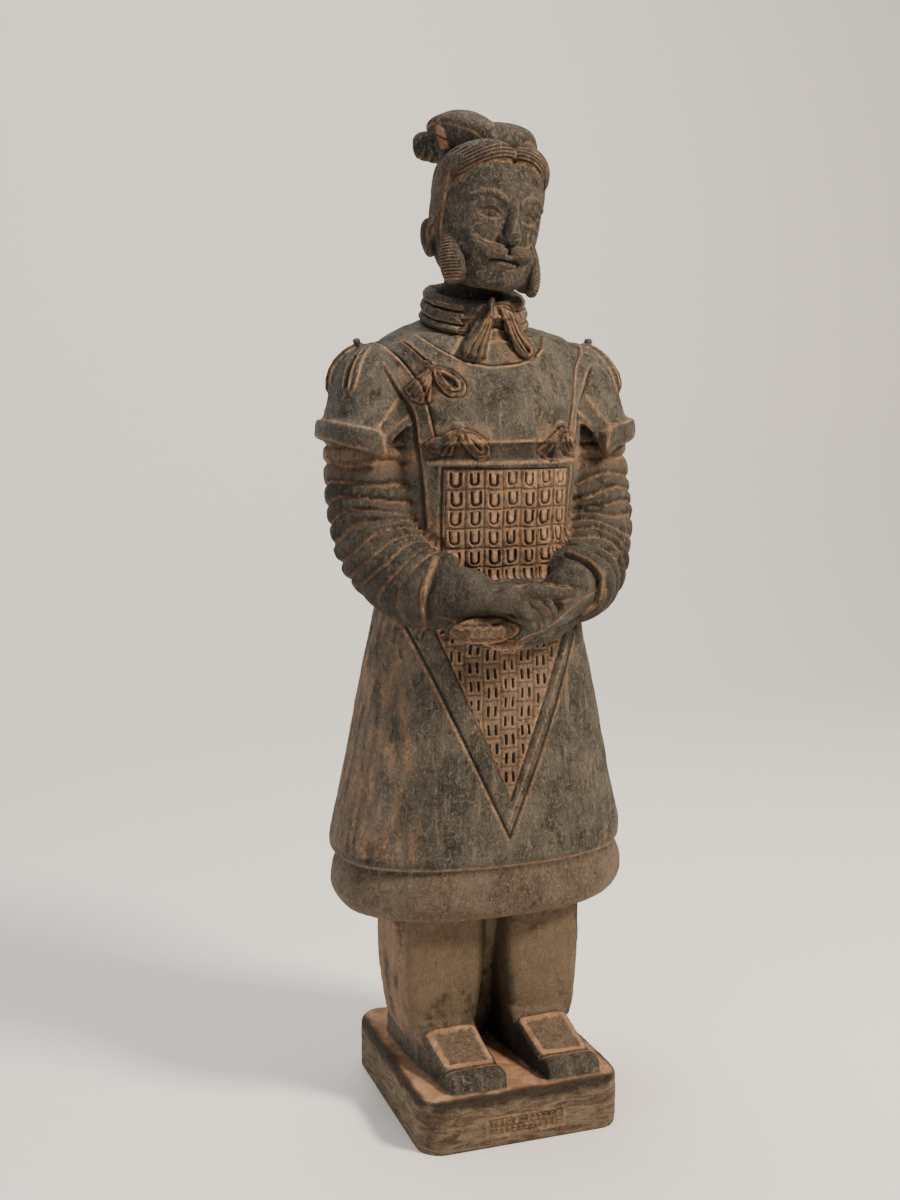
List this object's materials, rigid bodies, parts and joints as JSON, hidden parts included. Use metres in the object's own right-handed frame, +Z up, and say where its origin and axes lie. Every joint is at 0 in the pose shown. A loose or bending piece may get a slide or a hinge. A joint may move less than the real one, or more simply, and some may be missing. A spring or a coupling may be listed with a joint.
{
  "type": "standing warrior statue",
  "caption": "Standing armoured warrior in fired clay on a square plinth, hands folded at the belly, in a long skirted coat with scale panels, bows and a rolled collar; separate head.",
  "frame": {"origin": "centre of the plinth's flat underside", "axes": "+Z up, the figure faces -Y, and +X is its left hand side"},
  "size_m": [0.1786, 0.1331, 0.5488],
  "materials": {
    "body_clay": "matte, dark grey wash over orange-brown clay",
    "head_clay": "matte, dark grey wash over orange-brown clay"
  },
  "bodies": {
    "root": {"warrior_body": "body_clay", "warrior_head": "head_clay"}
  },
  "joints": []
}
